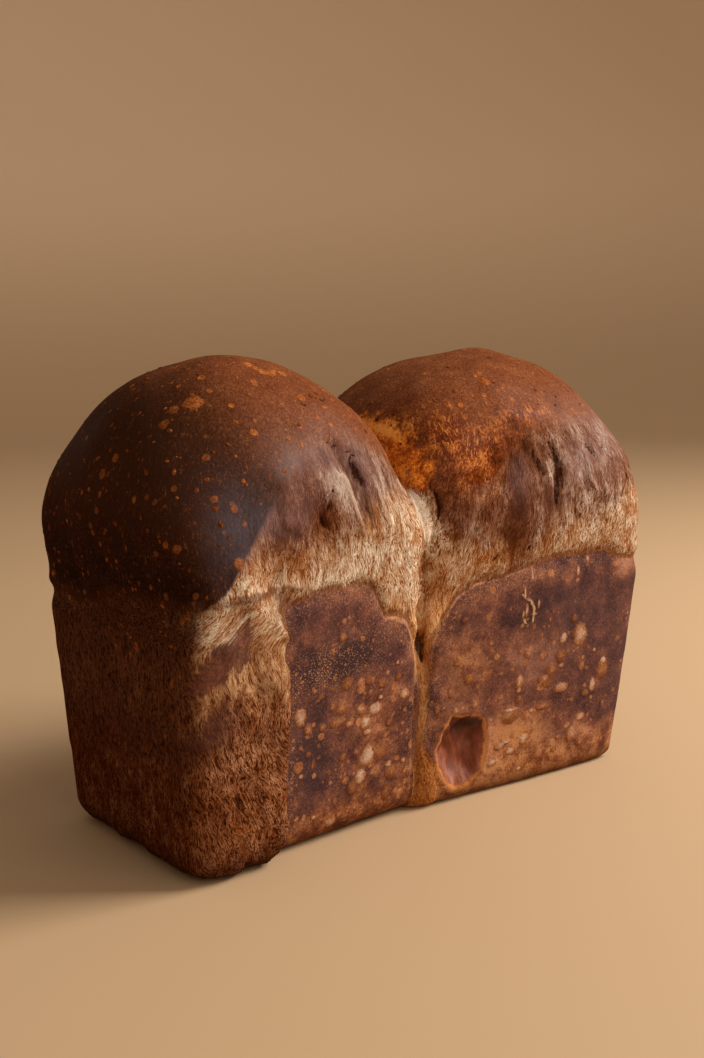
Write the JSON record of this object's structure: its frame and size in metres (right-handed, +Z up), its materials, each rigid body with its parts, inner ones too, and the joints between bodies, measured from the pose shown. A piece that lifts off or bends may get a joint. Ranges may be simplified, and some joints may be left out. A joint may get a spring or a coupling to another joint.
{
  "type": "brioche loaf",
  "caption": "Tall uncut brown butter brioche loaf with two round domes above straight tin-shaped sides, a cleft between the halves and a flat base.",
  "frame": {"origin": "on the flat base, below the middle of the loaf's bounding box", "axes": "+X along the loaf towards its right end as seen from the front, +Y from the front long side to the back, +Z up"},
  "size_m": [0.2038, 0.1024, 0.1543],
  "materials": {
    "crust": "satin"
  },
  "bodies": {
    "root": {"brioche_loaf": "crust"}
  },
  "joints": []
}
